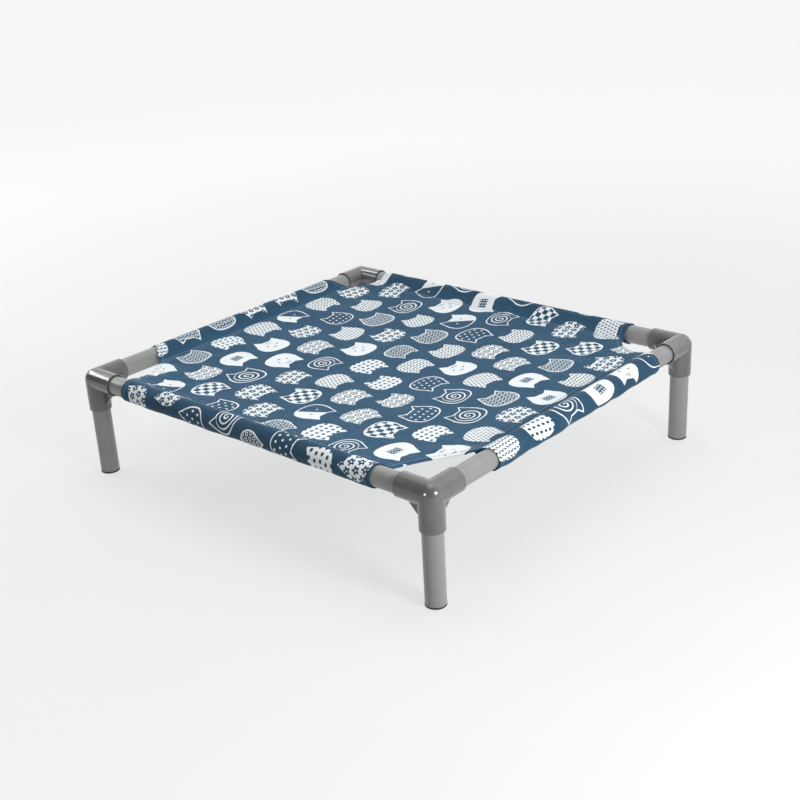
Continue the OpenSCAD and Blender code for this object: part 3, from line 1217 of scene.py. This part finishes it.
def seam_rows(side):
    """The two rows of stitches that close a sleeve, between the edges across the corners."""
    ox, oy = outward(side)
    rows = []
    for away in STITCH_ROWS:
        reach = (seam_x if ox else seam_y) - away
        places = np.arange(-ROW_REACH, ROW_REACH, ROW_STEP)
        line = np.array([(ox * reach, t) if ox else (t, oy * reach) for t in places])
        kept = line[inside(line, cloth.outline, ROW_MARGIN)]
        rows.append([kept[0], kept[-1]])
    return rows


def hem_row(corner):
    """The row of stitches along the hem across a corner."""
    edge = np.array(corner_edge(corner))
    ways = unit(np.gradient(edge, axis=0))
    inward = np.column_stack([-ways[:, 1], ways[:, 0]])
    inward *= np.where((inward @ CORNERS[corner])[:, None] > 0, -1, 1)
    return edge + inward * HEM_ROW


def end_row(side, which):
    """The row of stitches round the end of a sleeve, over the rail and down its outer side."""
    ox, oy = outward(side)
    end = ENDS[side][which] + (HEM_ROW if which == 0 else -HEM_ROW)
    past = np.arange(TOP_AT + 1 * MM, WRAP_END - ALLOWANCE - 8 * MM, 1 * MM)
    if ox:
        return [(ox * (seam_x + p), end) for p in past]
    return [(end, oy * (seam_y + p)) for p in past]


HEM_T = 1.0 * MM
HEM_SET_IN = 0.3 * MM
HEM_PAST_SEAM = 14 * MM
HEM_SECTION = 12
# The powers that square off a hem's section, across it and down through it.
HEM_SQUARING = (0.35, 0.8)


def squared(value, power):
    """A sine or cosine bent by a power, so that the round that it draws turns flat with tight ends."""
    return math.copysign(abs(value) ** power, value)


def corner_hem(corner):
    """The cloth turned under along the edge across a corner: a flat strip with rounded folds."""
    edge = np.array(corner_edge(corner))
    inward = unit(hem_row(corner) - edge)
    kept = (np.abs(edge + inward * HEM_W) < np.array([seam_x, seam_y]) + HEM_PAST_SEAM).all(1)
    points, flat = [], []
    for (u, v), (nu, nv) in zip(edge[kept], inward[kept]):
        for k in range(HEM_SECTION):
            a = math.tau * k / HEM_SECTION
            across = HEM_W / 2 * (1 - squared(math.cos(a), HEM_SQUARING[0])) + HEM_SET_IN
            down = HEM_T / 2 * (1 - squared(math.sin(a), HEM_SQUARING[1]))
            flat.append((u + nu * across, v + nv * across))
            place, normal = cloth.at(*flat[-1])
            points.append(place - normal * (CLOTH_T / 2 + down))
    # The section runs the other way round than a stitch's, so each face is turned over.
    faces = [f[:1] + f[:0:-1] for f in tube_faces(0, len(points) // HEM_SECTION, HEM_SECTION)]
    made = mesh_object(f"hem_{corner}", points, faces)
    flat_uv(made.data, flat)
    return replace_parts(dressed(made, "face"), f"corner_hem_{corner}")


# ---------------- stage, light and camera

VIEW_AZIMUTH = math.radians(41.97)
VIEW_ELEVATION = math.radians(23.24)
VIEW_ROLL = math.radians(-3.22)
VIEW_DISTANCE = 1.685
VIEW_TARGET = Vector((0.036, -0.0222, 0.0952))
VIEW_LENS = 57.26
VIEW_SENSOR = 36
VIEW_SHIFT_Y = 1 / 800


def make_camera():
    data = bpy.data.cameras.new("camera")
    data.lens = VIEW_LENS
    data.sensor_width = VIEW_SENSOR
    data.shift_y = VIEW_SHIFT_Y
    camera = bpy.data.objects.new("camera", data)
    bpy.context.scene.collection.objects.link(camera)
    place = Matrix.Translation(VIEW_TARGET)
    for angle, axis in ((VIEW_AZIMUTH, "Z"), (math.pi / 2 - VIEW_ELEVATION, "X"), (VIEW_ROLL, "Z")):
        place @= Matrix.Rotation(angle, 4, axis)
    camera.matrix_world = place @ Matrix.Translation((0, 0, VIEW_DISTANCE))
    bpy.context.scene.camera = camera


FLOOR_GREY = (0.19, 0.19, 0.188, 1)
FLOOR_GREY_PALE = (0.21, 0.21, 0.208, 1)
FLOOR_GLOW_COLOUR = (1.0, 1.0, 0.99, 1)
FLOOR_REACH = 9.0
# How strongly the floor glows near the bed, how much more far off, and where the change runs.
FLOOR_GLOW = 0.645
FLOOR_GLOW_MORE = 0.16
FLOOR_GLOW_AT = (0.5, 2.2)


def make_floor():
    """A pale table lit a little from within, as in a product studio, so that shadows on it stay faint."""
    corners = [(x * FLOOR_REACH, y * FLOOR_REACH, 0) for x, y in CORNERS.values()]
    floor = mesh_object("floor", corners, [(0, 1, 2, 3)])
    mat = Material("floor", Roughness=0.8, Specular_IOR_Level=0.1)
    mat.shader.inputs["Emission Color"].default_value = FLOOR_GLOW_COLOUR
    place = mat.place()
    tone = mat.noise(place, 3.0, detail=3)
    mat.set("Base Color", mat.mix(tone, FLOOR_GREY, FLOOR_GREY_PALE))
    away = length_of(*mat.split(place)[:2])
    mat.set("Emission Strength", away.ramp(*FLOOR_GLOW_AT) * FLOOR_GLOW_MORE + FLOOR_GLOW)
    floor.data.materials.append(mat.data)


def area_light(name, place, target, size, radiance, shape, only_glints=False):
    """An area light of a size in metres and a radiance, where 1 is as bright as white paper."""
    data = bpy.data.lights.new(name, "AREA")
    data.shape = shape
    data.size = size[0]
    data.size_y = size[1]
    area = size[0] * size[1] * (math.pi / 4 if shape == "ELLIPSE" else 1.0)
    data.energy = radiance * area * math.pi
    light = bpy.data.objects.new(name, data)
    light.location = place
    light.rotation_euler = (Vector(target) - Vector(place)).to_track_quat("-Z", "Y").to_euler()
    light.visible_camera = False
    light.visible_diffuse = not only_glints
    bpy.context.scene.collection.objects.link(light)


# Each glow of the room: the way towards it in plan, where it starts and is full, and its brightness.
ROOM_GLOWS = (
    ((-0.50, 0.85), 0.12, 0.60, 1.17),
    ((0.80, 0.60), 0.20, 0.70, 0.56),
)
ROOM_COLOUR = (0.98, 0.99, 1.0, 1)
ROOM_BASE = 0.02
# What the camera sees of the room in place of the glows.
ROOM_SHOWN = 0.92
NEAR_CORNER = (0.29, -0.26, 0.13)
LEFT_CORNER = (-0.29, -0.26, 0.13)
# Each light: its place, what it points at, its size, its radiance, its shape and, where it only
# glints in gloss and lights nothing, True.
LAMPS = {
    "lamp_right": ((1.24, -0.275, 0.59), NEAR_CORNER, (0.40, 0.40), 26.0, "ELLIPSE"),
    "glint": ((-0.22, -2.12, 0.67), NEAR_CORNER, (0.50, 0.50), 36.0, "ELLIPSE", True),
    "overhead": ((0.05, 0.0, 1.95), (0, 0, 0.1), (1.4, 1.4), 2.3, "RECTANGLE"),
    "window_a": ((-1.94, -0.54, 1.34), LEFT_CORNER, (1.15, 0.27), 13.0, "RECTANGLE"),
    "window_b": ((-1.55, 0.34, 1.60), LEFT_CORNER, (0.50, 0.16), 13.0, "RECTANGLE"),
}


def make_world():
    """A bright sweep behind the table in a dim room."""
    world = bpy.data.worlds.new("studio")
    bpy.context.scene.world = world
    world.use_nodes = True
    tree = world.node_tree
    way = tree.nodes.new("ShaderNodeTexCoord")
    parts = tree.nodes.new("ShaderNodeSeparateXYZ")
    tree.links.new(way.outputs["Generated"], parts.inputs[0])
    x, y = (Value(tree, output) for output in parts.outputs[:2])
    light = ROOM_BASE
    for (to_x, to_y), start, full, strength in ROOM_GLOWS:
        light = (x * to_x + y * to_y).ramp(start, full) * strength + light
    seen = tree.nodes.new("ShaderNodeLightPath")
    shown = Value(tree, seen.outputs["Is Camera Ray"])
    background = tree.nodes["Background"]
    background.inputs["Color"].default_value = ROOM_COLOUR
    feed(tree, background.inputs["Strength"], light * (1.0 - shown) + shown * ROOM_SHOWN)


def make_light():
    make_world()
    for name, settings in LAMPS.items():
        area_light(name, *settings)
    bpy.context.scene.view_settings.view_transform = "Standard"


# ---------------- build

MATERIALS = {
    "tube_x": tube_material("tube_x", 0),
    "tube_y": tube_material("tube_y", 1),
    "tube_z": tube_material("tube_z", 2),
    "fitting": fitting_material(),
    "cap": cap_material(),
    "face": face_material(),
    "reverse": reverse_material(),
    "thread": thread_material(),
}

# The material and the record's slot of each plastic CAD node, by how its name starts.
NODE_LOOKS = {
    "corner_hem_": None,
    "corner_": ("fitting", "fitting"),
    "rail_front": ("tube_x", "tube"),
    "rail_back": ("tube_x", "tube"),
    "rail_": ("tube_y", "tube"),
    "leg_": ("tube_z", "tube"),
    "foot_cap_": ("cap", "foot_cap"),
}


def finish_cad_nodes():
    """Gives the plastic CAD parts their materials."""
    for name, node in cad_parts.items():
        look = next((look for start, look in NODE_LOOKS.items() if name.startswith(start)), None)
        if look is None:
            continue
        for material_slot in node.material_slots:
            material_slot.material = MATERIALS[look[0]]


finish_cad_nodes()
cloth = Cloth()
sling = cloth.shell()
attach(sling, "root")
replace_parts(sling, "sling_deck", *(f"sleeve_{side}" for side in SIDES))

hems = [corner_hem(corner) for corner in CORNERS]
for side in SIDES:
    seam = stitched(f"stitches_{side}", seam_rows(side) + [end_row(side, 0), end_row(side, 1)])
    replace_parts(seam, f"seam_{side}")
for corner in CORNERS:
    stitched(f"hem_stitches_{corner}", [hem_row(corner)])

make_floor()
make_light()
make_camera()
